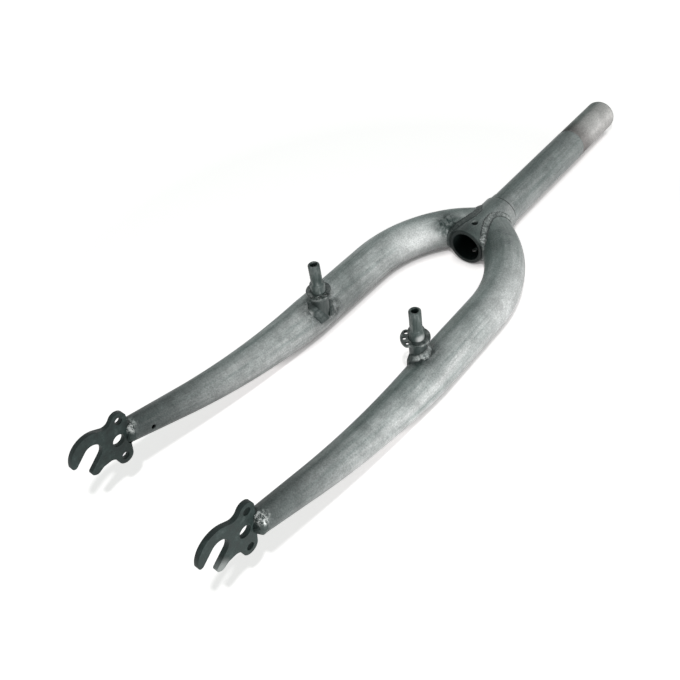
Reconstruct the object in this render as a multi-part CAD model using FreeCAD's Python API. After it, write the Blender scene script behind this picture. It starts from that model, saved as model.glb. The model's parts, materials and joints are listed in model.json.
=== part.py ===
import FreeCAD, Part
import math
import os

# Bicycle fork lying on its back: +Y runs up the steerer, +Z is its front and +X the rider's left.
# The origin is on the steerer axis, at the shoulder that the crown race rests on. Millimetres and degrees.

# Steerer
STEERER_OD = 25.4
STEERER_BORE = 22.2
STEERER_LENGTH = 160.0
RACE_SEAT_OD = 26.4
RACE_SEAT_LENGTH = 8.0
COLLAR_MARGIN = 0.2
CROTCH_LIP = 0.5
RIM_CHAMFER = 0.8
CROWN_HOLE_DIA = 5.0
CROWN_HOLE_DROP = 34.8

# Blades
BLADE_OD = 28.6
BLADE_WALL = 1.6
BLADE_TIP_OD = 14.8
BLADE_APEX_DROP = 15.1
BLADE_ANGLE = 50.0
HEAD_FLATTENING = 5.0
CROWN_BEND_RADIUS = 92.4
BLADE_SPLAY = 0.9
LEG_STRAIGHT = 54.7
RAKE_RADIUS = 419.0
RAKE_ANGLE = 17.7
TAPER_DELAY = 15.0
TIP_STRAIGHT = 39.4
TIP_OUTBOARD = 1.5
VENT_DIA = 3.0
VENT_RISE = 12.5

# Dropouts: ALONG runs down the blade from its tip, ACROSS runs to the front
WHEEL_SPACING = 100.0
PLATE_THICKNESS = 3.2
AXLE_ALONG = 26.7
AXLE_ACROSS = -1.0
HEAD_OD = 28.0
SLOT_WIDTH = 12.5
SLOT_ANGLE = 52.7
TINE_ROUND = 2.0
REAR_TINE_OD = 6.2
REAR_TINE_PROUD = 1.8
REAR_TINE_ANGLE = 45.0
WEB_WIDTH = 19.6
WASHER_HOLE_DIA = 8.0
WASHER_HOLE_ALONG = 9.0
EYELET_OD = 10.8
EYELET_HOLE_DIA = 5.0
FRONT_EYELET_ALONG = 8.3
FRONT_EYELET_ACROSS = 12.4
REAR_EYELET_ALONG = 5.0
REAR_EYELET_ACROSS = -14.4
NOTCH_ROUND = 5.0
TANG_DEPTH = 14.0
TANG_CLEARANCE = 0.3

# Brake bosses
BOSS_SPACING = 81.5
BOSS_DROP = 161.8
BOSS_BASE_OD = 11.2
BOSS_BASE_LOW = 3.0
BOSS_SEAT_HEIGHT = 25.2
BOSS_BODY_OD = 10.4
BOSS_BODY_LENGTH = 7.8
STUD_OD = 8.0
STUD_LENGTH = 16.3
STUD_CONE = 1.4
STUD_CHAMFER = 0.7
STUD_HOLE_DIA = 5.0
STUD_HOLE_DEPTH = 15.0

# Spring plates, with their holes counted round from +X
SPRING_PLATE_OD = 17.2
SPRING_PLATE_THICKNESS = 2.0
SPRING_PLATE_CLEARANCE = 0.1
SPRING_HOLE_DIA = 2.6
SPRING_HOLE_CIRCLE = 15.6
SPRING_HOLE_COUNT = 3
SPRING_HOLE_FIRST = 186.0
SPRING_HOLE_STEP = 36.0
SPRING_LOBE_MARGIN = 2.7

# Weld beads
CROWN_BEAD = 2.0
BOSS_BEAD = 2.4
TIP_BEAD_LENGTH = 3.4
TIP_BEAD_CHAMFER = 2.0

# Steps of the lofted rake, and the least angle that counts as a corner
RAKE_STATIONS = 8
CORNER_ANGLE = 5.0

X = FreeCAD.Vector(1, 0, 0)
Y = FreeCAD.Vector(0, 1, 0)
Z = FreeCAD.Vector(0, 0, 1)
ORIGIN = FreeCAD.Vector(0, 0, 0)
FULL_TURN = 360.0

# The collar is a little wider than the blades, so that their mitres close on it all round
COLLAR_OD = BLADE_OD + 2 * COLLAR_MARGIN


def rod(diameter, start, way, length):
    return Part.makeCylinder(diameter / 2, length, start, way)


def turned(profile, foot, axis, side):
    """Solid turned about an axis from (radius, height) points above its foot."""
    points = [foot + side * radius + axis * height for radius, height in profile]
    return Part.Face(Part.makePolygon(points + points[:1])).revolve(foot, axis, FULL_TURN)


def strap(start, start_od, end, end_od, depth):
    """Flat link along +X: two round ends and the straight edges that touch both."""
    span = end - start
    way = FreeCAD.Vector(span).normalize()
    side = X.cross(way)
    lean = math.acos((start_od - end_od) / 2 / span.Length)
    reach = way * math.cos(lean)
    rise = side * math.sin(lean)
    corners = [
        start + (reach + rise) * (start_od / 2),
        end + (reach + rise) * (end_od / 2),
        end + (reach - rise) * (end_od / 2),
        start + (reach - rise) * (start_od / 2),
    ]
    middle = Part.Face(Part.makePolygon(corners + corners[:1])).extrude(X * depth)
    return middle.fuse([rod(start_od, start, X, depth), rod(end_od, end, X, depth)])


def upright_corners(plate):
    """Straight edges through a plate's thickness where its outline turns sharply."""
    found = []
    limit = math.radians(CORNER_ANGLE)
    for edge in plate.Edges:
        if abs(edge.tangentAt(edge.FirstParameter).x) < math.cos(limit):
            continue
        faces = plate.ancestorsOfType(edge, Part.Face)
        normals = [face.normalAt(*face.Surface.parameter(edge.CenterOfMass)) for face in faces]
        if normals[0].getAngle(normals[-1]) > limit:
            found.append(edge)
    return found


def heading(angle):
    """Direction in the crown's plane, turned from straight down the fork towards +X."""
    return X * math.sin(math.radians(angle)) - Y * math.cos(math.radians(angle))


# Centre line of the left blade: head, crown bend, leg, rake bend and tip
rake_turn = math.radians(RAKE_ANGLE)
rake_length = RAKE_RADIUS * rake_turn
rake_reach = RAKE_RADIUS * math.sin(rake_turn) + TIP_STRAIGHT * math.cos(rake_turn)
lower_length = rake_length + TIP_STRAIGHT
bend_way = heading(BLADE_ANGLE).cross(Z)
leg_way = heading(BLADE_SPLAY)
bend_shift = (leg_way.cross(Z) - bend_way) * -CROWN_BEND_RADIUS
leg_shift = leg_way * (LEG_STRAIGHT + rake_reach)
tip_x = WHEEL_SPACING / 2 + PLATE_THICKNESS / 2 + TIP_OUTBOARD
head_length = (tip_x - bend_shift.x - leg_shift.x) / heading(BLADE_ANGLE).x
apex = Y * -BLADE_APEX_DROP
head_end = apex + heading(BLADE_ANGLE) * head_length
bend_centre = head_end + bend_way * CROWN_BEND_RADIUS
leg_start = head_end + bend_shift
rake_start = leg_start + leg_way * LEG_STRAIGHT

# The collar ends just below the crotch, where the inner side of the crown bend leaves it
inner_bend = CROWN_BEND_RADIUS - BLADE_OD / 2
crotch = bend_centre.y + math.sqrt(inner_bend ** 2 - (COLLAR_OD / 2 - bend_centre.x) ** 2)
COLLAR_LENGTH = CROTCH_LIP - crotch

# Steerer tube with its race seat and collar
steerer_profile = [
    (STEERER_BORE / 2, -COLLAR_LENGTH),
    (COLLAR_OD / 2 - RIM_CHAMFER, -COLLAR_LENGTH),
    (COLLAR_OD / 2, RIM_CHAMFER - COLLAR_LENGTH),
    (COLLAR_OD / 2, 0),
    (RACE_SEAT_OD / 2, 0),
    (RACE_SEAT_OD / 2, RACE_SEAT_LENGTH),
    (STEERER_OD / 2, RACE_SEAT_LENGTH),
    (STEERER_OD / 2, STEERER_LENGTH - RIM_CHAMFER),
    (STEERER_OD / 2 - RIM_CHAMFER, STEERER_LENGTH),
    (STEERER_BORE / 2, STEERER_LENGTH),
]
crown_hole = rod(CROWN_HOLE_DIA, Y * -CROWN_HOLE_DROP - Z * COLLAR_OD, Z, 2 * COLLAR_OD)
steerer_tube = turned(steerer_profile, ORIGIN, Y, X).cut(crown_hole)


def lower_point(run):
    """Place and direction of the centre line at a run below the start of the rake."""
    turn = min(run, rake_length) / RAKE_RADIUS
    way = leg_way * math.cos(turn) + Z * math.sin(turn)
    bend = leg_way * math.sin(turn) + Z * (1 - math.cos(turn))
    return rake_start + bend * RAKE_RADIUS + way * max(run - rake_length, 0), way


def lower_od(run):
    share = max(run - TAPER_DELAY, 0) / (lower_length - TAPER_DELAY)
    return BLADE_OD + (BLADE_TIP_OD - BLADE_OD) * share


tip, tip_way = lower_point(lower_length)
plate_way = FreeCAD.Vector(0, tip_way.y, tip_way.z).normalize()
plate_front = plate_way.cross(X)


def blade_envelope(offset):
    """Solid inside the blade's outer surface moved outward, from the steerer axis to the square-cut tip."""
    od = BLADE_OD + 2 * offset
    flat_depth = od - HEAD_FLATTENING
    flat_ring = Part.Ellipse(apex + bend_way * (od / 2), apex + Z * (flat_depth / 2), apex).toShape()
    head_ring = Part.Wire(Part.makeCircle(od / 2, head_end, heading(BLADE_ANGLE)))
    head = Part.makeLoft([Part.Wire(flat_ring), head_ring], True, True)
    bend = Part.Face(head_ring).revolve(bend_centre, Z, BLADE_SPLAY - BLADE_ANGLE)
    leg = rod(od, leg_start, leg_way, LEG_STRAIGHT)
    rings = []
    for station in range(RAKE_STATIONS):
        run = lower_length * station / RAKE_STATIONS
        rings.append(Part.Wire(Part.makeCircle(lower_od(run) / 2 + offset, *lower_point(run))))
    rings.append(Part.Wire(Part.makeCircle(BLADE_TIP_OD / 2 + offset, tip, plate_way)))
    lower = Part.makeLoft(rings, True, False)
    return head.fuse([bend, leg, lower]).removeSplitter()


# Blade: hollow, mitred to the collar and vented on its inner side
blade_body = blade_envelope(0)
crown_depth = COLLAR_OD + BLADE_OD
crown_half = Part.makeBox(crown_depth, 2 * crown_depth, crown_depth, Y * -crown_depth - Z * (crown_depth / 2))
collar_space = rod(COLLAR_OD, Y * -crown_depth, Y, 2 * crown_depth)
vent = rod(VENT_DIA, lower_point(lower_length - VENT_RISE)[0], X * -1, BLADE_OD)
past_middle = crown_half.mirror(ORIGIN, X)
blade = blade_body.cut([blade_envelope(-BLADE_WALL), collar_space, past_middle, vent])


# Dropout: a flat plate square to the axle, with a tang inside the blade's tip
def plate_point(along, across):
    return FreeCAD.Vector(WHEEL_SPACING / 2, tip.y, tip.z) + plate_way * along + plate_front * across


def plate_block(along, end, width):
    corners = [
        plate_point(along, -width / 2),
        plate_point(end, -width / 2),
        plate_point(end, width / 2),
        plate_point(along, width / 2),
    ]
    return Part.Face(Part.makePolygon(corners + corners[:1])).extrude(X * PLATE_THICKNESS)


axle = plate_point(AXLE_ALONG, AXLE_ACROSS)
washer_hole = plate_point(WASHER_HOLE_ALONG, AXLE_ACROSS)
front_eyelet = plate_point(FRONT_EYELET_ALONG, FRONT_EYELET_ACROSS)
rear_eyelet = plate_point(REAR_EYELET_ALONG, REAR_EYELET_ACROSS)
web = strap(axle, HEAD_OD, washer_hole, WEB_WIDTH, PLATE_THICKNESS)
ears = strap(front_eyelet, EYELET_OD, rear_eyelet, EYELET_OD, PLATE_THICKNESS)
plate = web.fuse(ears).removeSplitter()
plate = plate.makeFillet(NOTCH_ROUND, upright_corners(plate))
slot_turn = math.radians(SLOT_ANGLE)
slot_way = plate_way * math.cos(slot_turn) - plate_front * math.sin(slot_turn)
rear_turn = math.radians(REAR_TINE_ANGLE)
rear_way = slot_way * math.cos(rear_turn) + X.cross(slot_way) * math.sin(rear_turn)
rear_tine = axle + rear_way * ((HEAD_OD - REAR_TINE_OD) / 2 + REAR_TINE_PROUD)
plate = plate.fuse(strap(axle, HEAD_OD, rear_tine, REAR_TINE_OD, PLATE_THICKNESS)).removeSplitter()
plate = plate.cut(strap(axle, SLOT_WIDTH, axle + slot_way * HEAD_OD, SLOT_WIDTH, PLATE_THICKNESS))
plate = plate.makeFillet(TINE_ROUND, upright_corners(plate))
plate = plate.cut(rod(BLADE_TIP_OD + 2 * TANG_CLEARANCE, tip, plate_way * -1, TANG_DEPTH))
tang_offset = PLATE_THICKNESS / 2 + abs(TIP_OUTBOARD)
tip_bore = BLADE_TIP_OD - 2 * BLADE_WALL
tang_width = 2 * math.sqrt((tip_bore / 2) ** 2 - tang_offset ** 2) - 2 * TANG_CLEARANCE
tang = plate_block(-TANG_DEPTH, 0, tang_width)
root = plate_block(0, WASHER_HOLE_ALONG, BLADE_TIP_OD)
plate_holes = [
    rod(WASHER_HOLE_DIA, washer_hole, X, PLATE_THICKNESS),
    rod(EYELET_HOLE_DIA, front_eyelet, X, PLATE_THICKNESS),
    rod(EYELET_HOLE_DIA, rear_eyelet, X, PLATE_THICKNESS),
]
dropout = plate.fuse([root, tang]).removeSplitter().cut(plate_holes)

# Brake boss: base cut to the blade, seat for the spring plate, body, and stud with its threaded hole
boss_foot = X * (BOSS_SPACING / 2) - Y * BOSS_DROP
body_top = BOSS_SEAT_HEIGHT + BOSS_BODY_LENGTH
stud_top = body_top + STUD_LENGTH
boss_profile = [
    (0, BOSS_BASE_LOW),
    (BOSS_BASE_OD / 2, BOSS_BASE_LOW),
    (BOSS_BASE_OD / 2, BOSS_SEAT_HEIGHT),
    (BOSS_BODY_OD / 2, BOSS_SEAT_HEIGHT),
    (BOSS_BODY_OD / 2, body_top),
    (STUD_OD / 2, body_top + STUD_CONE),
    (STUD_OD / 2, stud_top - STUD_CHAMFER),
    (STUD_OD / 2 - STUD_CHAMFER, stud_top),
    (STUD_HOLE_DIA / 2, stud_top),
    (STUD_HOLE_DIA / 2, stud_top - STUD_HOLE_DEPTH),
    (0, stud_top - STUD_HOLE_DEPTH),
]
brake_boss = turned(boss_profile, boss_foot, Z, X).cut(blade_body)

# Spring plate: a washer round the boss's body, with a lobe of holes on its inner, lower side
seat = boss_foot + Z * BOSS_SEAT_HEIGHT
lobe_sweep = SPRING_HOLE_STEP * (SPRING_HOLE_COUNT - 1)
lobe_radius = SPRING_HOLE_CIRCLE / 2 + SPRING_LOBE_MARGIN
lobe = Part.makeCylinder(lobe_radius, SPRING_PLATE_THICKNESS, seat, Z, lobe_sweep)
lobe.rotate(seat, Z, SPRING_HOLE_FIRST)
hole_places = []
for number in range(SPRING_HOLE_COUNT):
    turn = math.radians(SPRING_HOLE_FIRST + SPRING_HOLE_STEP * number)
    hole_places.append(seat + (X * math.cos(turn) + Y * math.sin(turn)) * (SPRING_HOLE_CIRCLE / 2))
first_end = rod(2 * SPRING_LOBE_MARGIN, hole_places[0], Z, SPRING_PLATE_THICKNESS)
last_end = rod(2 * SPRING_LOBE_MARGIN, hole_places[-1], Z, SPRING_PLATE_THICKNESS)
washer = rod(SPRING_PLATE_OD, seat, Z, SPRING_PLATE_THICKNESS)
spring_cuts = [rod(BOSS_BODY_OD + 2 * SPRING_PLATE_CLEARANCE, seat, Z, SPRING_PLATE_THICKNESS)]
for place in hole_places:
    spring_cuts.append(rod(SPRING_HOLE_DIA, place, Z, SPRING_PLATE_THICKNESS))
spring_plate = washer.fuse([lobe, first_end, last_end]).removeSplitter().cut(spring_cuts)

# Weld beads, each in the corner between the two pieces it joins
collar_foot = Y * -COLLAR_LENGTH
crown_bead_space = rod(COLLAR_OD + 2 * CROWN_BEAD, collar_foot, Y, COLLAR_LENGTH)
crown_weld = blade_envelope(CROWN_BEAD).common(crown_bead_space).common(crown_half)
crown_weld = crown_weld.cut([rod(COLLAR_OD, collar_foot, Y, COLLAR_LENGTH), blade_body])
base_length = BOSS_SEAT_HEIGHT - BOSS_BASE_LOW
base_foot = boss_foot + Z * BOSS_BASE_LOW
boss_weld = blade_envelope(BOSS_BEAD).common(rod(BOSS_BASE_OD + 2 * BOSS_BEAD, base_foot, Z, base_length))
boss_weld = boss_weld.cut([rod(BOSS_BASE_OD, base_foot, Z, base_length), blade_body])
tip_profile = [
    (0, 0),
    (BLADE_TIP_OD / 2, 0),
    (BLADE_TIP_OD / 2, TIP_BEAD_LENGTH - TIP_BEAD_CHAMFER),
    (BLADE_TIP_OD / 2 - TIP_BEAD_CHAMFER, TIP_BEAD_LENGTH),
    (0, TIP_BEAD_LENGTH),
]
tip_welds = turned(tip_profile, tip, plate_way, X).cut(dropout).Solids
tip_welds.sort(key=lambda solid: solid.CenterOfMass.x)

left_pieces = {
    "blade": blade,
    "dropout": dropout,
    "brake_boss": brake_boss,
    "spring_plate": spring_plate,
    "crown_weld": crown_weld,
    "boss_weld": boss_weld,
    "dropout_inner_weld": tip_welds[0],
    "dropout_outer_weld": tip_welds[-1],
}
os.makedirs("parts", exist_ok=True)
steerer_tube.exportStep("parts/steerer_tube.step")
for name, shape in left_pieces.items():
    shape.exportStep("parts/left_" + name + ".step")
    shape.mirror(ORIGIN, X).exportStep("parts/right_" + name + ".step")
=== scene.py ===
import json
import math
import bpy
from mathutils import Matrix, Vector, noise


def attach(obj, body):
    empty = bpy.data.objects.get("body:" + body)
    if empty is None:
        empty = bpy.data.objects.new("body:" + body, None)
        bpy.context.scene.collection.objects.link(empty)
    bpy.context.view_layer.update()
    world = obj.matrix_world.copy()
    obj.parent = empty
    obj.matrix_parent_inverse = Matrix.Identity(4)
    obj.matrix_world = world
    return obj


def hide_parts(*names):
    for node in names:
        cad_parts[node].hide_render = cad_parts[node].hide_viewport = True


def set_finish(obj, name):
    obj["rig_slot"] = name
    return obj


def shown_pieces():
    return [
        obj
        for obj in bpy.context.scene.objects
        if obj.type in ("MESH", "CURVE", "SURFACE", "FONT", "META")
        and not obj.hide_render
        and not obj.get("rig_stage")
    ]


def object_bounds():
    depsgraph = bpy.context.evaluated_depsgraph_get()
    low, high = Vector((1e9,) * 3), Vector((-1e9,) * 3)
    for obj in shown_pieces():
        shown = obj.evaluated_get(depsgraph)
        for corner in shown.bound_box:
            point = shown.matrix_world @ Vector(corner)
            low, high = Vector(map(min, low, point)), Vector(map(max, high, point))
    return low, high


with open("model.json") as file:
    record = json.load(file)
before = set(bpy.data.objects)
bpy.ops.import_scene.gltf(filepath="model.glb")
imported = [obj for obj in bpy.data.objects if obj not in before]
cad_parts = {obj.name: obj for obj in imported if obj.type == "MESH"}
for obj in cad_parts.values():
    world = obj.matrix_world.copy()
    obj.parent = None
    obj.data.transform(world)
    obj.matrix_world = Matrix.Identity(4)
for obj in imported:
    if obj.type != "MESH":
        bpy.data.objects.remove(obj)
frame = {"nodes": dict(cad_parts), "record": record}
cad_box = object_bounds()
nodes = frame["nodes"]

# Sizes of the part, in millimetres and degrees
MM = 0.001
STEERER_R = 12.7
BORE_R = 11.1
STEERER_TOP = 160.0
SEAT_R = 13.2
SEAT_TOP = 8.0
COLLAR_R = 14.5
COLLAR_LOW = -47.2
RIM_CHAMFER = 0.8
BORE_CHAMFER = 0.4
CROWN_HOLE_R = 2.5
CROWN_HOLE_Y = -34.8
THREAD_START = 108.0
THREAD_PITCH = 25.4 / 24
THREAD_DEPTH = 0.55
BLADE_R = 14.3
BLADE_WALL = 1.6
TIP_R = 7.4
APEX_Y = -15.1
BLADE_ANGLE = 50.0
HEAD_FLAT = 3.0
HEAD_FLAT_LENGTH = 30.0
BEND_R = 92.4
SPLAY = 0.9
LEG = 54.7
RAKE_R = 419.0
RAKE_ANGLE = 17.7
TAPER_DELAY = 15.0
TIP_STRAIGHT = 39.4
TIP_X = 53.1
PLATE_IN = 50.0
PLATE_OUT = 53.2
VENT_R = 1.5
VENT_RISE = 12.5
BOSS_X = 40.75
BOSS_Y = -161.8
BOSS_BASE_R = 5.6
BOSS_BASE_LOW = 3.0

X = Vector((1, 0, 0))
Y = Vector((0, 1, 0))
Z = Vector((0, 0, 1))
TURN = 2 * math.pi

# Meshes
TUBE_CREASE = 35
WELD_CREASE = 80
JOIN_REACH = 0.000005


def add_mesh(name, points, faces, slot, replaced, crease=TUBE_CREASE):
    """A mesh that rides the fork's body and stands in the place of CAD nodes."""
    mesh = bpy.data.meshes.new(name)
    mesh.from_pydata([p * MM for p in points], [], faces)
    mesh.validate()
    mesh.shade_smooth()
    mesh.set_sharp_from_angle(angle=math.radians(crease))
    obj = bpy.data.objects.new(name, mesh)
    bpy.context.scene.collection.objects.link(obj)
    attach(obj, "root")
    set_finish(obj, slot)
    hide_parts(*replaced)
    return obj


def mirrored(points, faces):
    """The same mesh on the other side of the fork."""
    return [Vector((-p.x, p.y, p.z)) for p in points], [tuple(reversed(f)) for f in faces]


def grid(rows, cols, point, holes=(), closed=False):
    """Tube of quads from point(row, col), with round holes cut out of patches of it."""
    points = [point(i, j) for i in range(rows) for j in range(cols)]
    last = rows if closed else rows - 1
    cut = set()
    for hole in holes:
        low, high, first, end = hole["patch"]
        cut |= {(i, j % cols) for i in range(low, high) for j in range(first, end)}
    faces = []
    for i in range(last):
        for j in range(cols):
            if (i, j) in cut:
                continue
            k = (i + 1) % rows
            n = (j + 1) % cols
            faces.append((i * cols + j, i * cols + n, k * cols + n, k * cols + j))
    for hole in holes:
        low, high, first, end = hole["patch"]
        loop = [(low, j) for j in range(first, end)] + [(i, end) for i in range(low, high)]
        loop += [(high, j) for j in range(end, first, -1)] + [(i, first) for i in range(high, low, -1)]
        ring = [i * cols + j % cols for i, j in loop]
        for level in range(hole["levels"]):
            new = []
            for i, j in loop:
                new.append(len(points))
                points.append(hole["rim"](i, j, level))
            size = len(ring)
            for m in range(size):
                n = (m + 1) % size
                faces.append((ring[m], ring[n], new[n], new[m]))
            ring = new
    return points, faces


def ring_share(gap, radius, size):
    """Share of the way to a patch's edge of a ring with a gap round its hole, or None for halfway."""
    reach = (size + radius) / 2 if gap is None else radius + gap
    return reach / size


# Centre line of the left blade
def heading(angle):
    """Way down a line that leans out by an angle."""
    return Vector((math.sin(math.radians(angle)), -math.cos(math.radians(angle)), 0))


def outward(angle):
    """Way out of the fork, square to such a line."""
    return Vector((math.cos(math.radians(angle)), math.sin(math.radians(angle)), 0))


rake_turn = math.radians(RAKE_ANGLE)
rake_length = RAKE_R * rake_turn
lower_length = rake_length + TIP_STRAIGHT
leg_way = heading(SPLAY)
leg_out = outward(SPLAY)
bend_shift = (outward(SPLAY) - outward(BLADE_ANGLE)) * BEND_R
leg_reach = LEG + RAKE_R * math.sin(rake_turn) + TIP_STRAIGHT * math.cos(rake_turn)
head_length = (TIP_X - bend_shift.x - leg_way.x * leg_reach) / heading(BLADE_ANGLE).x
apex = Vector((0, APEX_Y, 0))
head_end = apex + heading(BLADE_ANGLE) * head_length
leg_start = head_end + bend_shift
rake_start = leg_start + leg_way * LEG


def lower_point(run):
    """Centre and way of the raked length, at a run below its start."""
    turn = min(run, rake_length) / RAKE_R
    way = leg_way * math.cos(turn) + Z * math.sin(turn)
    bend = leg_way * math.sin(turn) + Z * (1 - math.cos(turn))
    return rake_start + bend * RAKE_R + way * max(run - rake_length, 0), way


def lower_radius(run):
    """Radius of the raked length, which tapers to the tip."""
    return BLADE_R + (TIP_R - BLADE_R) * max(run - TAPER_DELAY, 0) / (lower_length - TAPER_DELAY)


tip, tip_way = lower_point(lower_length)
plate_way = Vector((0, tip_way.y, tip_way.z)).normalized()
plate_front = plate_way.cross(X)
crown_turn = math.radians(BLADE_ANGLE - SPLAY)
crown_length = head_length + BEND_R * crown_turn
upper_length = crown_length + LEG

# Skin of the left blade
CROWN_ROWS = 56
LEG_ROWS = 16
LOWER_ROWS = 96
UPPER_ROWS = CROWN_ROWS + LEG_ROWS
BLADE_ROWS = UPPER_ROWS + LOWER_ROWS + 1
BLADE_COLS = 96
MITRE_SINK = 0.2
MITRE_STEPS = 30


def crown_point(run, angle):
    """Point of the blade's outer surface at a run below the steerer axis, at an angle from its outer side."""
    turned = BLADE_ANGLE - math.degrees(max(run - head_length, 0) / BEND_R)
    shift = (outward(turned) - outward(BLADE_ANGLE)) * BEND_R
    centre = apex + heading(BLADE_ANGLE) * min(run, head_length) + shift
    flat = HEAD_FLAT * max(1 - run / HEAD_FLAT_LENGTH, 0) ** 2
    across = outward(turned) * (BLADE_R * math.cos(angle))
    return centre + across + Z * ((BLADE_R - flat) * math.sin(angle))


def mitre_run(angle, radius):
    """Run at which the blade's side at an angle comes out of a round collar."""
    low, high = 0, crown_length
    for step in range(MITRE_STEPS):
        run = (low + high) / 2
        place = crown_point(run, angle)
        if math.hypot(place.x, place.z) < radius:
            low = run
        else:
            high = run
    return high


def skin_run(row, angle):
    """Run below the steerer axis of a row of the blade's mesh, at an angle from the blade's outer side."""
    if row < CROWN_ROWS:
        start = mitre_run(angle, COLLAR_R - MITRE_SINK)
        return start + (crown_length - start) * row / CROWN_ROWS
    if row < UPPER_ROWS:
        return crown_length + LEG * (row - CROWN_ROWS) / LEG_ROWS
    return upper_length + lower_length * (row - UPPER_ROWS) / LOWER_ROWS


def skin_point(run, angle):
    """Point of the blade's outer surface."""
    if run < crown_length:
        return crown_point(run, angle)
    if run < upper_length:
        side = leg_out * math.cos(angle) + Z * math.sin(angle)
        return leg_start + leg_way * (run - crown_length) + side * BLADE_R
    low = run - upper_length
    centre, way = lower_point(low)
    side = leg_out * math.cos(angle) + leg_out.cross(way) * -math.sin(angle)
    place = centre + side * lower_radius(low)
    if low > lower_length - MITRE_SINK:
        place += way * ((tip - place).dot(plate_way) / way.dot(plate_way))
    return place


def skin_straight(run, angle):
    """The same point with the blade straightened along Y."""
    radius = lower_radius(run - upper_length)
    return Vector((radius * math.cos(angle), run, radius * math.sin(angle)))


# Vent hole on the blade's inner side, by the gap and depth of each of its rings
VENT_STEPS = [(None, 0), (0.3, 0), (0, 0.25), (0, 0.9), (0, BLADE_WALL)]
VENT_ROWS = 2
VENT_COLS = 5
vent_row = UPPER_ROWS + LOWER_ROWS * (lower_length - VENT_RISE) / lower_length
vent_radius = lower_radius(lower_length - VENT_RISE)
row_step = lower_length / LOWER_ROWS


def vent_rim(surface):
    """Rings of the vent hole on a surface of the blade."""
    def rim(row, col, level):
        gap, sink = VENT_STEPS[level]
        along = (row - vent_row) * row_step
        around = (col - BLADE_COLS / 2) * TURN / BLADE_COLS * vent_radius
        share = ring_share(gap, VENT_R, math.hypot(along, around))
        angle = math.pi + around * share / vent_radius
        return surface(skin_run(vent_row + along * share / row_step, angle), angle) + leg_out * sink
    return rim


def blade_grid(surface):
    """The blade's mesh on a surface, with its vent hole."""
    low = round(vent_row) - VENT_ROWS
    middle = BLADE_COLS // 2
    patch = (low, low + 2 * VENT_ROWS, middle - VENT_COLS, middle + VENT_COLS)
    vent = {"patch": patch, "rim": vent_rim(surface), "levels": len(VENT_STEPS)}

    def point(row, col):
        angle = TURN * col / BLADE_COLS
        return surface(skin_run(row, angle), angle)
    return grid(BLADE_ROWS, BLADE_COLS, point, [vent])


def lay_straight(obj, points, start):
    """Keep on a tube's mesh the place of each point on the straightened tube."""
    straight = obj.data.attributes.new("straight", "FLOAT_VECTOR", "POINT")
    straight.data.foreach_set("vector", [v for p in points for v in (p + Y * start) * MM])


# The straightened tubes start apart, so that each has streaks of its own
STEERER_APART = 0
LEFT_APART = 1000
RIGHT_APART = 2000
blade_points, blade_faces = blade_grid(skin_point)
straight_points = blade_grid(skin_straight)[0]
left = add_mesh("left_blade_skin", blade_points, blade_faces, "tube_steel", ["left_blade"])
right = add_mesh("right_blade_skin", *mirrored(blade_points, blade_faces), "tube_steel", ["right_blade"])
lay_straight(left, straight_points, LEFT_APART)
lay_straight(right, straight_points, RIGHT_APART)
for obj in (left, right):
    wall = obj.modifiers.new("wall", "SOLIDIFY")
    wall.thickness = BLADE_WALL * MM
    wall.offset = -1

# Steerer, turned about Y: bore, collar, race seat, plain length and screwed top
STEERER_COLS = 96
HOLE_STEPS = (-5.0, -3.6, -1.8, 0.0, 1.8, 3.6, 5.0)
HOLE_COLS = 5
COLLAR_ROWS = (-20.0, -8.0, -0.5)
SHOULDER_EASE = 0.3
SEAT_FOOT = 0.4
SEAT_HEAD = 0.2
STEM_ROWS = (40.0, 75.0)
NECK_DEPTH = 0.45
NECK_START = 1.2
NECK_FULL = 0.8
THREAD_PARTS = 4
THREAD_STOP = 1.0
TOP_CUT = 0.1
hole_rows = [CROWN_HOLE_Y + step for step in HOLE_STEPS]
neck = STEERER_R - NECK_DEPTH
profile = [(BORE_R, STEERER_TOP - BORE_CHAMFER), (BORE_R, STEERER_TOP / 2)]
bore_start = len(profile)
profile += [(BORE_R, y) for y in reversed(hole_rows)]
profile += [(BORE_R, COLLAR_LOW + BORE_CHAMFER), (BORE_R + BORE_CHAMFER, COLLAR_LOW)]
profile += [(COLLAR_R - RIM_CHAMFER, COLLAR_LOW), (COLLAR_R, COLLAR_LOW + RIM_CHAMFER)]
hole_start = len(profile)
profile += [(COLLAR_R, y) for y in (*hole_rows, *COLLAR_ROWS)]
profile += [(COLLAR_R - SHOULDER_EASE, 0.0), (SEAT_R, 0.0)]
profile += [(SEAT_R, SEAT_TOP - SEAT_FOOT), (STEERER_R, SEAT_TOP + SEAT_HEAD)]
profile += [(STEERER_R, y) for y in (*STEM_ROWS, THREAD_START - NECK_START)]
profile += [(neck, THREAD_START - NECK_FULL), (neck, THREAD_START)]
thread_start = len(profile)
thread_rows = int((STEERER_TOP - THREAD_STOP - THREAD_START) / THREAD_PITCH * THREAD_PARTS)
for row in range(thread_rows):
    profile.append((STEERER_R, THREAD_START + THREAD_PITCH * (row + 1) / THREAD_PARTS))
thread_end = len(profile)
profile += [(STEERER_R - THREAD_DEPTH - TOP_CUT, STEERER_TOP), (BORE_R + BORE_CHAMFER, STEERER_TOP)]


def steerer_point(row, angle):
    """Point of the steerer's profile turned by an angle, with the screw's winding."""
    radius, height = profile[row]
    if thread_start <= row < thread_end:
        phase = ((height - THREAD_START) / THREAD_PITCH - angle / TURN) % 1
        radius -= THREAD_DEPTH * abs(2 * phase - 1)
    return Vector((radius * math.cos(angle), height, -radius * math.sin(angle)))


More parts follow.
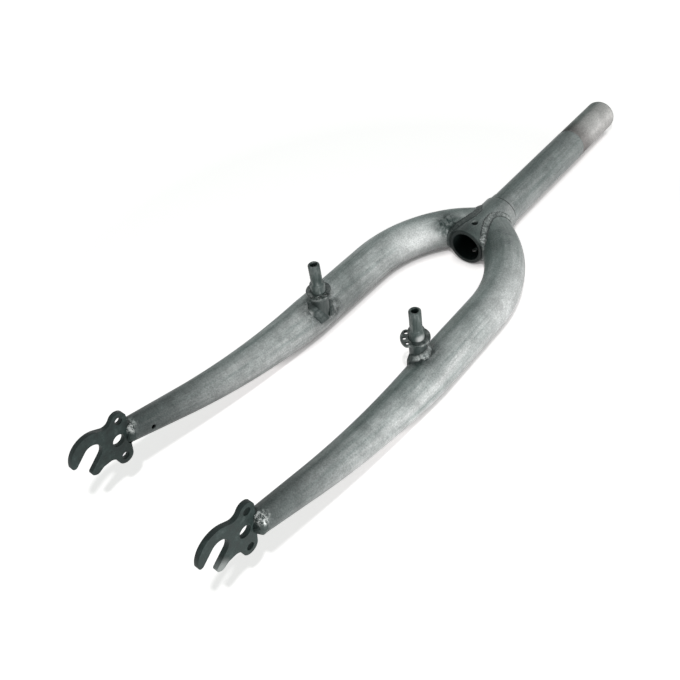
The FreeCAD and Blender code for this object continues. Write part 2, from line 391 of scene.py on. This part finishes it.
def crown_rim(face, steps):
    """Rings of a crown hole that faces an angle, by the gap and depth of each."""
    def rim(row, col, level):
        gap, sink = steps[level]
        rise = profile[row][1] - CROWN_HOLE_Y
        around = (TURN * col / STEERER_COLS - face) * COLLAR_R
        share = ring_share(gap, CROWN_HOLE_R, math.hypot(rise, around))
        angle = face + around * share / COLLAR_R
        radius = COLLAR_R - sink
        return Vector((radius * math.cos(angle), CROWN_HOLE_Y + rise * share, -radius * math.sin(angle)))
    return rim


COLLAR_WALL = COLLAR_R - BORE_R
OUTER_STEPS = [(None, 0), (0.35, 0), (0, 0.3), (0, 1.5), (0, COLLAR_WALL)]
BORE_STEPS = [(None, COLLAR_WALL), (0, COLLAR_WALL)]
crown_holes = []
for face in (TURN / 4, TURN * 3 / 4):
    middle = round(face / TURN * STEERER_COLS)
    for start, steps in ((hole_start, OUTER_STEPS), (bore_start, BORE_STEPS)):
        patch = (start, start + len(hole_rows) - 1, middle - HOLE_COLS, middle + HOLE_COLS)
        crown_holes.append({"patch": patch, "rim": crown_rim(face, steps), "levels": len(steps)})
steerer_points, steerer_faces = grid(
    len(profile),
    STEERER_COLS,
    lambda i, j: steerer_point(i, TURN * j / STEERER_COLS),
    crown_holes,
    closed=True,
)
steerer = add_mesh("steerer_skin", steerer_points, steerer_faces, "tube_steel", ["steerer_tube"])
lay_straight(steerer, steerer_points, STEERER_APART)
steerer.modifiers.new("join", "WELD").merge_threshold = JOIN_REACH

# Weld beads: a rippled band that bridges two surfaces along the line where they meet
BEAD_COLS = 11
BEAD_RING = BEAD_COLS + 1
BEAD_ROOT = 0.8
BEAD_SINK = 0.2
LUMP_LENGTH = 4
RIPPLE_DRIFT = 0.3
WIDTH_LEAST = 0.9
WIDTH_RIPPLE = 0.12
WIDTH_LUMP = 0.2
RISE_RIPPLE = 0.35
RISE_LUMP = 0.4
GRIT_LENGTH = 0.9
GRIT_ACROSS = 7
GRIT_HEIGHT = 0.22


def toe_point(place, off, normal, width):
    """Edge of a bead on one surface, a little under it and bent with it."""
    return place + off * width - normal * (BEAD_SINK + width ** 2 / (2 * BLADE_R))


def bead(path, lift, pitch, seed):
    """Points and faces of a bead along stations: place, first normal and width, second normal and width."""
    points = []
    run = 0
    for n, (place, first, first_width, second, second_width) in enumerate(path):
        before = path[n - 1][0] if n else place
        after = path[n + 1][0] if n < len(path) - 1 else place
        way = (after - before).normalized()
        out = (first + second).normalized()
        off_first = way.cross(first).normalized()
        off_first *= math.copysign(1, off_first.dot(second))
        off_second = way.cross(second).normalized()
        off_second *= math.copysign(1, off_second.dot(first))
        run += (place - before).length
        lump = noise.noise(Vector((run / LUMP_LENGTH, seed, 0)))
        ripple = abs(math.sin(math.pi * (run / pitch + RIPPLE_DRIFT * lump)))
        wide = WIDTH_LEAST + WIDTH_RIPPLE * ripple + WIDTH_LUMP * lump
        start = toe_point(place, off_first, first, first_width * wide)
        end = toe_point(place, off_second, second, second_width * wide)
        peak = (start + end) / 2 + out * (lift * (1 + RISE_RIPPLE * ripple + RISE_LUMP * lump))
        for m in range(BEAD_COLS):
            t = m / (BEAD_COLS - 1)
            speck = noise.noise(Vector((run / GRIT_LENGTH, GRIT_ACROSS * t, seed)))
            grit = speck * GRIT_HEIGHT * math.sin(math.pi * t)
            arc = start * (1 - t) ** 2 + peak * 2 * t * (1 - t) + end * t ** 2
            points.append(arc + out * grit)
        points.append(place - out * BEAD_ROOT)
    faces = [tuple(reversed(range(BEAD_RING))), tuple(range(len(points) - BEAD_RING, len(points)))]
    for n in range(0, len(points) - BEAD_RING, BEAD_RING):
        for m in range(BEAD_RING):
            k = (m + 1) % BEAD_RING
            faces.append((n + m, n + k, n + BEAD_RING + k, n + BEAD_RING + m))
    return points, faces


def add_beads(name, path, lift, pitch, seed):
    """A bead on the left and its mirror on the right, with how far across it each point lies."""
    points, faces = bead(path, lift, pitch, seed)
    for side, shape in (("left_", (points, faces)), ("right_", mirrored(points, faces))):
        replaced = [side + name + "_weld"]
        obj = add_mesh(side + name + "_bead", *shape, "weld_steel", replaced, WELD_CREASE)
        across = obj.data.attributes.new("across", "FLOAT", "POINT")
        across.data.foreach_set("value", [n % BEAD_RING / (BEAD_COLS - 1) for n in range(len(points))])


# Crown weld, which narrows on the collar where the collar's rim is near
CROWN_STEPS = 520
COLLAR_TOE = 4.4
BLADE_TOE = 3.4
LEAST_TOE = 0.3
RIM_GAP = 0.4
INNER_ROOM = 1
OUTER_ROOM = 3
RUN_STEP = 0.1
ANGLE_STEP = 0.01
crown_path = []
for n in range(CROWN_STEPS + 1):
    angle = TURN * n / CROWN_STEPS
    run = mitre_run(angle, COLLAR_R)
    place = crown_point(run, angle)
    along = crown_point(run + RUN_STEP, angle) - place
    around = crown_point(run, angle + ANGLE_STEP) - place
    room = (place.y - COLLAR_LOW - RIM_GAP) * (INNER_ROOM if math.cos(angle) < 0 else OUTER_ROOM)
    toe = min(COLLAR_TOE, max(room, LEAST_TOE))
    collar_out = Vector((place.x, 0, place.z)).normalized()
    crown_path.append((place, around.cross(along).normalized(), BLADE_TOE, collar_out, toe))
add_beads("crown", crown_path, lift=0.6, pitch=1.9, seed=3.7)


def blade_top(x, y):
    """Height and normal of the blade's front surface over a place near the boss."""
    run = max((y - rake_start.y) / leg_way.y, 0)
    centre, way = lower_point(run)
    radius = lower_radius(run)
    reach = (x - centre.x) / radius
    if abs(reach) >= 1:
        return None
    rise = math.sqrt(1 - reach ** 2)
    return centre.z + radius * rise, Vector((reach, 0, rise))


# Boss weld, round the part of the boss's foot that stands on the blade
BOSS_STEPS = 240
BASE_TOE = 4.4
HEEL_TOE = 4.1
boss_path = []
for n in range(BOSS_STEPS + 1):
    angle = -math.pi + TURN * n / BOSS_STEPS
    out = Vector((math.cos(angle), math.sin(angle), 0))
    top = blade_top(BOSS_X + out.x * BOSS_BASE_R, BOSS_Y + out.y * BOSS_BASE_R)
    if top and top[0] > BOSS_BASE_LOW:
        place = Vector((BOSS_X, BOSS_Y, top[0])) + out * BOSS_BASE_R
        boss_path.append((place, out, BASE_TOE, top[1], HEEL_TOE))
add_beads("boss", boss_path, lift=1.4, pitch=3.4, seed=8.1)

# Lumps of weld metal that fill the blade's tip on each side of the dropout
CAP_COLS = 72
CAP_PROFILE = [(-0.5, -0.8), (0, 0), (0, 0.9), (-0.5, 1.9), (-1.4, 2.7), (-2.8, 3.2), (-4.6, 3.3)]
CAP_LUMP = 2.3
CAP_RISE = 0.5
CAP_SWELL = 0.3
CAP_TOP = 3.4


def tip_cap(row, col):
    """Point of a lump over the whole of the tip."""
    inset, height = CAP_PROFILE[row]
    angle = TURN * col / CAP_COLS
    side = X * math.cos(angle) + plate_front * math.sin(angle)
    lump = noise.noise((side * (TIP_R + inset) + Y * height) / CAP_LUMP)
    rise = height + CAP_RISE * lump * min(max(height, 0), 1)
    return tip + side * (TIP_R + inset + CAP_SWELL * lump) + plate_way * min(rise, CAP_TOP)


cap_points, cap_faces = grid(len(CAP_PROFILE), CAP_COLS, tip_cap)
cap_faces += [tuple(reversed(range(CAP_COLS))), tuple(range(len(cap_points) - CAP_COLS, len(cap_points)))]
for name, low, high in (("inner", 0, PLATE_IN), ("outer", PLATE_OUT, 2 * PLATE_OUT)):
    points = [Vector((min(max(p.x, low), high), p.y, p.z)) for p in cap_points]
    for side, shape in (("left_", (points, cap_faces)), ("right_", mirrored(points, cap_faces))):
        replaced = [side + "dropout_" + name + "_weld"]
        add_mesh(side + name + "_cap", *shape, "weld_steel", replaced, WELD_CREASE)


# Nodes of the materials
class Nodes:
    """The node tree of a material or world, with short calls to add and join nodes."""

    def __init__(self, owner):
        owner.use_nodes = True
        self.owner = owner
        self.tree = owner.node_tree

    def put(self, value, socket):
        if isinstance(value, bpy.types.NodeSocket):
            self.tree.links.new(value, socket)
        elif socket.type == "RGBA":
            socket.default_value = (*value, 1)
        else:
            socket.default_value = value

    def add(self, kind, inputs, **settings):
        node = self.tree.nodes.new("ShaderNode" + kind)
        for key, value in settings.items():
            setattr(node, key, value)
        for key, value in inputs.items():
            self.put(value, node.inputs[key])
        return node

    def math(self, how, first, second=0.0):
        return self.add("Math", {0: first, 1: second}, operation=how).outputs[0]

    def mix(self, share, first, second, how="MIX"):
        node = self.add("Mix", {0: share, 6: first, 7: second}, data_type="RGBA", blend_type=how)
        return node.outputs[2]

    def span(self, value, low, high, start=0.0, end=1.0, how="SMOOTHSTEP"):
        """Start where the value is low, end where it is high, and a slope between."""
        inputs = {0: value, 1: low, 2: high, 3: start, 4: end}
        return self.add("MapRange", inputs, interpolation_type=how).outputs[0]

    def shown(self):
        """1 for rays that show the background: those of the camera, of reflections and through glass."""
        rays = self.add("LightPath", {})
        most = self.math("MAXIMUM", rays.outputs["Is Camera Ray"], rays.outputs["Is Glossy Ray"])
        return self.math("MAXIMUM", most, rays.outputs["Is Transmission Ray"])


class Steel(Nodes):
    """A steel material, with noises, and with stains, painted shade and painted highlights at places on the
    fork.
    """

    def __init__(self, name):
        super().__init__(bpy.data.materials.new(name))
        self.shader = self.tree.nodes["Principled BSDF"]
        self.place = self.add("TexCoord", {}).outputs["Object"]

    def attribute(self, name, output):
        return self.add("Attribute", {}, attribute_name=name).outputs[output]

    def stretched(self, scale, detail, rough, place=None):
        """Noise with a scale for each axis."""
        place = self.add("Mapping", {0: place or self.place, 3: scale}).outputs[0]
        return self.noise(1.0, detail, rough, place)

    def noise(self, scale, detail=4.0, rough=0.6, place=None):
        inputs = {"Vector": place or self.place, "Scale": scale, "Detail": detail, "Roughness": rough}
        return self.add("TexNoise", inputs).outputs["Fac"]

    def ramp(self, value, stops):
        node = self.add("ValToRGB", {"Fac": value})
        band = node.color_ramp
        while len(band.elements) < len(stops):
            band.elements.new(0.5)
        for element, (place, colour) in zip(band.elements, stops):
            element.position = place
            element.color = (*colour, 1)
        return node.outputs["Color"]

    def blend(self, first, first_share, second, second_share):
        """Sum of two values, each by its share."""
        first = self.math("MULTIPLY", first, first_share)
        return self.math("ADD", first, self.math("MULTIPLY", second, second_share))

    def axis(self, name):
        return self.add("SeparateXYZ", {0: self.place}).outputs[name]

    def off(self, value, middle):
        """How far a value lies from a middle one."""
        return self.math("ABSOLUTE", self.math("SUBTRACT", value, middle))

    def near(self, place, reach, both=True):
        """1 within the first reach of a place, 0 past the second; the place may hold on both sides."""
        gap = self.place
        if both:
            node = self.add("SeparateXYZ", {0: self.place})
            side = self.math("ABSOLUTE", node.outputs[0])
            gap = self.add("CombineXYZ", {0: side, 1: node.outputs[1], 2: node.outputs[2]}).outputs[0]
        gap = self.add("VectorMath", {0: gap, 1: place}, operation="DISTANCE").outputs["Value"]
        return self.span(gap, *reach, 1.0, 0.0)

    def stain_or_painted_light(self, under, tone, share, place, reach, both=True):
        """The colour under, changed to a tone by a share near a place: for stains, and for painted shade and
        painted highlights.
        """
        return self.mix(self.math("MULTIPLY", self.near(place, reach, both), share), under, tone)

    def mottle(self, under, value, dark, light):
        """The colour under, darkened and lightened by a noise."""
        stops = ((MOTTLE_LOW, (dark, dark, dark)), (MOTTLE_HIGH, (light, light, light)))
        return self.mix(1.0, under, self.ramp(value, stops), "MULTIPLY")

    def bump(self, height, distance, strength):
        node = self.add("Bump", {"Height": height, "Distance": distance, "Strength": strength})
        self.put(node.outputs[0], self.shader.inputs["Normal"])

    def paint(self, colour, rough, metal, gloss=0.5):
        self.put(colour, self.shader.inputs["Base Color"])
        self.put(rough, self.shader.inputs["Roughness"])
        self.put(metal, self.shader.inputs["Metallic"])
        self.put(gloss, self.shader.inputs["Specular IOR Level"])
        return self.owner


# Tones of the steel, and of the shade and highlights painted on it, in red, green and blue, with their places
# on a noise where they follow one
MOTTLE_LOW = 0.36
MOTTLE_HIGH = 0.64
STREAK_TONES = (
    (0.34, (0.29, 0.32, 0.312)),
    (0.50, (0.45, 0.46, 0.455)),
    (0.64, (0.58, 0.575, 0.572)),
)
DARK_TONES = (
    (0.35, (0.007, 0.013, 0.012)),
    (0.55, (0.016, 0.027, 0.025)),
    (0.70, (0.045, 0.060, 0.057)),
)
BOSS_TONES = (
    (0.36, (0.032, 0.046, 0.043)),
    (0.50, (0.075, 0.092, 0.088)),
    (0.64, (0.19, 0.205, 0.20)),
)
PLATE_TONES = (
    (0.36, (0.03, 0.04, 0.038)),
    (0.52, (0.085, 0.098, 0.095)),
    (0.66, (0.24, 0.25, 0.243)),
)
WELD_TONES = (
    (0.38, (0.05, 0.062, 0.06)),
    (0.50, (0.21, 0.225, 0.22)),
    (0.64, (0.55, 0.56, 0.55)),
)
SCREW_TONES = (
    (0.0, (0.22, 0.205, 0.20)),
    (1.0, (0.50, 0.48, 0.47)),
)
STEM_TONE = (0.10, 0.115, 0.112)
TIP_TONE = (0.04, 0.052, 0.05)
CROWN_SHADE_TONE = (0.035, 0.05, 0.047)
HEAD_SHADE_TONE = (0.07, 0.092, 0.087)
LEFT_BEND_HIGHLIGHT_TONE = (0.68, 0.67, 0.667)
RIGHT_BEND_HIGHLIGHT_TONE = (0.74, 0.735, 0.73)
HEAT_TONE = (0.035, 0.045, 0.043)
SHOULDER_HIGHLIGHT_TONE = (0.52, 0.51, 0.51)
CREASE_SHADE_TONE = (0.02, 0.026, 0.025)
SPATTER_TONE = (0.50, 0.51, 0.50)
BORE_SHADE_TONE = (0.012, 0.018, 0.0175)
TINE_PALE_TONE = (0.30, 0.315, 0.308)
GLINT_TONE = (0.55, 0.55, 0.545)
FOOT_SHADE_TONE = (0.03, 0.038, 0.037)
SMOKE_AND_SHADE_TONE = (0.03, 0.042, 0.04)
BOSS_BEAD_HIGHLIGHT_TONE = (0.62, 0.625, 0.615)
CROWN_BEAD_HIGHLIGHT_TONE = (0.74, 0.74, 0.73)
BLOB_TONE = (0.52, 0.53, 0.52)

# Places of the stains, painted shade and painted highlights on the fork, in metres
CROTCH = (0.0, -0.050, 0.008)
LEFT_HEAD = (0.021, -0.040, 0.010)
LEFT_BEND = (0.060, -0.080, 0.004)
RIGHT_BEND = (-0.035, -0.067, 0.012)
RIGHT_HEAD = (-0.0185, -0.0425, 0.010)
BOSS_FOOT = (0.04075, -0.1618, 0.012)
RIGHT_BOSS_SIDE = (-0.0365, -0.1555, 0.007)
SHOULDER = (0.0110, -0.002, 0.0095)
LEFT_TIP = (0.0570, -0.3160, 0.0385)
RIGHT_TIP = (-0.0505, -0.3165, 0.0385)
LEFT_TINE = (0.0532, -0.3480, 0.0245)
LEFT_BOSS_FRONT = (0.0455, -0.1640, 0.0290)
RIGHT_BOSS_BEAD = (-0.0431, -0.1703, 0.0108)
LEFT_CROWN_BEAD = (0.0126, -0.0440, 0.0092)

# Bounds of the zones on the fork, in metres: from the steerer's axis, along it, across and up
STEM_EDGE = (0.0145, 0.0149)
BORE_EDGE = (0.0112, 0.0120)
RIM_EDGE = (0.0143, 0.0146)
RIM_FADE = (-0.0471, -0.0462)
TIP_FADE = (-0.322, -0.210)
LEDGE_MIDDLE = 0.0003
LEDGE_FADE = (0.0007, 0.0014)
SCREW_FADE = (0.1065, 0.1085)
SCREW_LENGTH = (0.108, 0.130)
BOSS_FADE = (0.018, 0.027)
HEEL_ACROSS = (0.0415, 0.0455)
HEEL_ALONG = (-0.14, -0.10)
RIGHT_ACROSS = (-0.006, -0.001)
CAP_ALONG = (-0.30, -0.20)
CAP_FRONT = (0.0335, 0.0365)


def tube_steel():
    n = Steel("tube_steel")
    straight = n.attribute("straight", "Vector")
    coarse = n.stretched((110, 9, 110), 3, 0.6, straight)
    fine = n.stretched((520, 28, 520), 3, 0.6, straight)
    streak = n.blend(coarse, 0.55, fine, 0.45)
    grain = n.noise(1100, 3, 0.7)
    patchy = n.span(n.noise(260, 4, 0.7), 0.38, 0.58, 0.45, 1.0)
    height = n.axis("Y")
    flat = n.add("VectorMath", {0: n.place, 1: (1, 0, 1)}, operation="MULTIPLY").outputs[0]
    axle = n.add("VectorMath", {0: flat}, operation="LENGTH").outputs["Value"]
    colour = n.ramp(streak, STREAK_TONES)
    colour = n.mix(n.span(axle, *STEM_EDGE, 0.44, 0.0), colour, STEM_TONE)
    colour = n.mix(n.span(height, *TIP_FADE, 0.86, 0.0), colour, TIP_TONE)
    # Painted shade in the crotch between the blades, under the collar.
    colour = n.stain_or_painted_light(colour, CROWN_SHADE_TONE, 0.75, CROTCH, (0.008, 0.024))
    # Painted shade on the left blade's head by the collar.
    colour = n.stain_or_painted_light(colour, HEAD_SHADE_TONE, 0.55, LEFT_HEAD, (0.004, 0.026), both=False)
    # Painted highlight on the left blade's bend.
    colour = n.stain_or_painted_light(colour, LEFT_BEND_HIGHLIGHT_TONE, 0.6, LEFT_BEND, (0.012, 0.045), both=False)
    # Painted highlight on the right blade's bend.
    colour = n.stain_or_painted_light(colour, RIGHT_BEND_HIGHLIGHT_TONE, 0.85, RIGHT_BEND, (0.008, 0.026), both=False)
    # Painted shade, in patches, on the right blade's head beside the crown weld.
    colour = n.stain_or_painted_light(colour, CROWN_SHADE_TONE, patchy, RIGHT_HEAD, (0.005, 0.0135), both=False)
    right_heat = n.near(RIGHT_BOSS_SIDE, (0.005, 0.015), both=False)
    heat = n.math("MAXIMUM", n.near(BOSS_FOOT, (0.008, 0.020)), right_heat)
    colour = n.mix(n.math("MULTIPLY", heat, n.math("MULTIPLY", patchy, 0.85)), colour, HEAT_TONE)
    # Painted highlight on the top of the collar's shoulder.
    colour = n.stain_or_painted_light(colour, SHOULDER_HIGHLIGHT_TONE, 0.6, SHOULDER, (0.002, 0.007))
    # Painted shade: a dark line in the step at the collar's shoulder.
    ledge = n.span(n.off(height, LEDGE_MIDDLE), *LEDGE_FADE, 0.85, 0.0)
    colour = n.mix(ledge, colour, CREASE_SHADE_TONE)
    left_tip = n.near(LEFT_TIP, (0.001, 0.006), both=False)
    right_tip = n.near(RIGHT_TIP, (0.001, 0.006), both=False)
    drops = n.span(n.noise(520, 4, 0.7), 0.46, 0.56)
    spatter = n.math("MULTIPLY", n.math("MAXIMUM", left_tip, right_tip), drops)
    colour = n.mix(spatter, colour, SPATTER_TONE)
    screw = n.ramp(n.span(height, *SCREW_LENGTH), SCREW_TONES)
    colour = n.mix(n.span(height, *SCREW_FADE), colour, screw)
    # Painted shade inside the bore and on the collar's bottom rim.
    bore = n.span(axle, *BORE_EDGE, 1.0, 0.0)
    rim = n.math("MULTIPLY", n.span(height, *RIM_FADE, 0.85, 0.0), n.span(axle, *RIM_EDGE, 1.0, 0.0))
    colour = n.mix(n.math("MAXIMUM", bore, rim), colour, BORE_SHADE_TONE)
    colour = n.mottle(colour, grain, 0.72, 1.12)
    colour = n.mottle(colour, n.noise(120, 4, 0.65), 0.84, 1.14)
    n.bump(grain, 0.0002, 0.4)
    return n.paint(colour, n.span(streak, 0.35, 0.65, 0.54, 0.42), metal=0.1, gloss=0.18)


def dark_steel():
    n = Steel("dark_steel")
    blotch = n.noise(170, 5, 0.65)
    colour = n.ramp(blotch, DARK_TONES)
    # Paler patch on the left dropout's rear tine.
    colour = n.stain_or_painted_light(colour, TINE_PALE_TONE, 0.75, LEFT_TINE, (0.002, 0.009), both=False)
    n.bump(n.noise(1000, 3, 0.7), 0.0002, 0.5)
    return n.paint(colour, n.span(blotch, 0.3, 0.7, 0.45, 0.6), metal=0.2, gloss=0.3)


def boss_steel():
    n = Steel("boss_steel")
    blotch = n.stretched((260, 260, 60), 4, 0.6)
    rings = n.stretched((30, 30, 1800), 4, 0.6)
    colour = n.ramp(blotch, BOSS_TONES)
    colour = n.stain_or_painted_light(colour, GLINT_TONE, 0.7, LEFT_BOSS_FRONT, (0.001, 0.0045), both=False)
    # Painted shade on the boss's foot, below its spring plate.
    colour = n.mix(n.span(n.axis("Z"), *BOSS_FADE, 0.75, 0.0), colour, FOOT_SHADE_TONE)
    n.bump(rings, 0.0001, 0.4)
    return n.paint(colour, n.span(blotch, 0.3, 0.7, 0.42, 0.34), metal=0.2, gloss=0.4)


def plate_steel():
    n = Steel("plate_steel")
    blotch = n.noise(300, 5, 0.65)
    n.bump(n.noise(900), 0.0001, 0.4)
    return n.paint(n.ramp(blotch, PLATE_TONES), n.span(blotch, 0.3, 0.7, 0.35, 0.55), metal=0.3)


def weld_steel():
    n = Steel("weld_steel")
    side = n.axis("X")
    height = n.axis("Y")
    speck = n.noise(560, 4, 0.7)
    colour = n.ramp(n.blend(speck, 0.6, n.noise(110, 3, 0.6), 0.4), WELD_TONES)
    # Painted shade along both toes of each bead.
    toe = n.span(n.off(n.attribute("across", "Fac"), 0.5), 0.18, 0.34, 0.0, 0.9)
    colour = n.mix(toe, colour, CREASE_SHADE_TONE)
    # Painted shade together with heat scale: darker, rougher welds on the fork's right side and on the inner
    # side of the left boss bead.
    heel = n.math("MULTIPLY", n.span(side, *HEEL_ACROSS, 0.8, 0.0), n.span(height, *HEEL_ALONG, 1.0, 0.0))
    burnt_and_shade = n.math("MAXIMUM", n.span(side, *RIGHT_ACROSS, 0.75, 0.0), heel)
    colour = n.mix(burnt_and_shade, colour, SMOKE_AND_SHADE_TONE)
    # Painted highlight on the right boss bead.
    colour = n.stain_or_painted_light(colour, BOSS_BEAD_HIGHLIGHT_TONE, 0.8, RIGHT_BOSS_BEAD, (0.001, 0.004), both=False)
    # Painted highlight on the left crown bead, broken into specks.
    glint_specks = n.span(speck, 0.44, 0.60, 0.15, 0.95)
    colour = n.stain_or_painted_light(colour, CROWN_BEAD_HIGHLIGHT_TONE, glint_specks, LEFT_CROWN_BEAD, (0.001, 0.0045), both=False)
    front = n.math("MULTIPLY", n.span(n.axis("Z"), *CAP_FRONT), n.span(speck, 0.44, 0.58))
    caps = n.mix(front, SMOKE_AND_SHADE_TONE, BLOB_TONE)
    colour = n.mix(n.span(height, *CAP_ALONG, 1.0, 0.0), colour, caps)
    n.bump(n.noise(1200), 0.0002, 0.5)
    rough = n.math("MAXIMUM", n.span(speck, 0.3, 0.7, 0.3, 0.55), n.math("MULTIPLY", burnt_and_shade, 0.8))
    return n.paint(colour, rough, metal=0.3)


# Materials on the pieces, and softened edges on the CAD nodes that are seen
SOFT_EDGE = 0.0003
SOFT_STEPS = 2
SOFT_ANGLE = 40
materials = {
    "tube_steel": tube_steel(),
    "dark_steel": dark_steel(),
    "boss_steel": boss_steel(),
    "plate_steel": plate_steel(),
    "weld_steel": weld_steel(),
}
slots = {part["node"]: part["material_slot"] for part in frame["record"]["subparts"]}
for name, obj in nodes.items():
    obj.data.materials.clear()
    obj.data.materials.append(materials[slots[name]])
    if not obj.hide_render:
        join = obj.modifiers.new("join", "WELD")
        join.merge_threshold = JOIN_REACH
        edge = obj.modifiers.new("edge", "BEVEL")
        edge.width = SOFT_EDGE
        edge.segments = SOFT_STEPS
        edge.limit_method = "ANGLE"
        edge.angle_limit = math.radians(SOFT_ANGLE)
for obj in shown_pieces():
    if "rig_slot" in obj and not obj.data.materials:
        obj.data.materials.append(materials[obj["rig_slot"]])

# Floor: white paper that glows where it is seen, less so near the fork, with a painted contact shadow where
# pieces touch it
FLOOR_SIZE = 6
FLOOR_Y = -0.15
PAPER_TONE = (0.97, 0.95, 0.95)
BOUNCE_TONE = (0.30, 0.30, 0.30)
GLOW_TONE = (1, 0.94, 0.94)
GLOW_REACH = (0.28, 0.50)
GLOW_LEVEL = (0.70, 1.0)
CONTACT_REACH = 0.006
CONTACT_SAMPLES = 8
bpy.ops.mesh.primitive_plane_add(size=FLOOR_SIZE, location=(0, FLOOR_Y, cad_box[0][2]))
floor = bpy.context.object
floor.name = "floor"
floor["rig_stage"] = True
paper = Nodes(bpy.data.materials.new("paper"))
paper.tree.nodes.clear()
diffuse_ray = paper.add("LightPath", {}).outputs["Is Diffuse Ray"]
matte = paper.add("BsdfDiffuse", {0: paper.mix(diffuse_ray, PAPER_TONE, BOUNCE_TONE)})
spot = paper.add("TexCoord", {}).outputs["Object"]
reach = paper.add("VectorMath", {0: spot}, operation="LENGTH").outputs["Value"]
level = paper.math("MULTIPLY", paper.shown(), paper.span(reach, *GLOW_REACH, *GLOW_LEVEL, "LINEAR"))
# Painted contact shadow: the glow darkens where pieces come near the floor.
contact_shadow = paper.add("AmbientOcclusion", {"Distance": CONTACT_REACH}, samples=CONTACT_SAMPLES)
level = paper.math("MULTIPLY", level, contact_shadow.outputs["AO"])
glow = paper.add("Emission", {0: GLOW_TONE, 1: level})
both = paper.add("AddShader", {0: matte.outputs[0], 1: glow.outputs[0]})
paper.add("OutputMaterial", {0: both.outputs[0]})
floor.data.materials.append(paper.owner)

# Sky: white where it is seen, and a weak tinted light elsewhere
SKY_TINT = (0.64, 1.0, 0.93)
SKY_LEVEL = 0.17
WHITE = (1, 1, 1)
sky = Nodes(bpy.data.worlds.new("studio"))
bpy.context.scene.world = sky.owner
back = sky.tree.nodes["Background"]
shown = sky.shown()
sky.put(sky.mix(shown, SKY_TINT, WHITE), back.inputs[0])
sky.put(sky.span(shown, 0.0, 1.0, SKY_LEVEL, 1.0, "LINEAR"), back.inputs[1])

# Lamps
LAMP_AIM = Vector((0, -0.12, 0))


def lamp(name, place, size, power, lit):
    """A round lamp that lights only the given objects."""
    light = bpy.data.lights.new(name, "AREA")
    light.shape = "DISK"
    light.size = size
    light.energy = power
    obj = bpy.data.objects.new(name, light)
    obj.location = place
    obj.rotation_euler = (LAMP_AIM - Vector(place)).to_track_quat("-Z", "Y").to_euler()
    bpy.context.scene.collection.objects.link(obj)
    group = bpy.data.collections.new(name)
    for piece in lit:
        group.objects.link(piece)
    obj.light_linking.receiver_collection = group


lamp("key", (0.30, -0.48, 0.85), size=0.06, power=3.0, lit=[floor])
lamp("side", (0.98, -0.50, 0.22), size=0.35, power=12.5, lit=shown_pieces())
lamp("fill", (-1.0, 0.45, 0.08), size=0.4, power=1.2, lit=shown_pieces())

# Camera
VIEW_FROM = Vector((268.06, -439.5, 391.28))
VIEW_WAY = Vector((-0.51625, 0.48355, -0.70687))
VIEW_UP = Vector((-0.38756, 0.60412, 0.69631))
FOCAL = 820.16
PIXELS = 680
SENSOR = 36
CLIP_START = 0.01
camera = bpy.data.cameras.new("camera")
camera.sensor_width = SENSOR
camera.lens = FOCAL * SENSOR / PIXELS
camera.clip_start = CLIP_START
eye = bpy.data.objects.new("camera", camera)
view_right = VIEW_WAY.cross(VIEW_UP).normalized()
view_up = view_right.cross(VIEW_WAY).normalized()
view_turn = Matrix((view_right, view_up, -VIEW_WAY.normalized())).transposed().to_4x4()
eye.matrix_world = Matrix.Translation(VIEW_FROM * MM) @ view_turn
bpy.context.scene.collection.objects.link(eye)
bpy.context.scene.camera = eye
bpy.context.scene.view_settings.view_transform = "Standard"
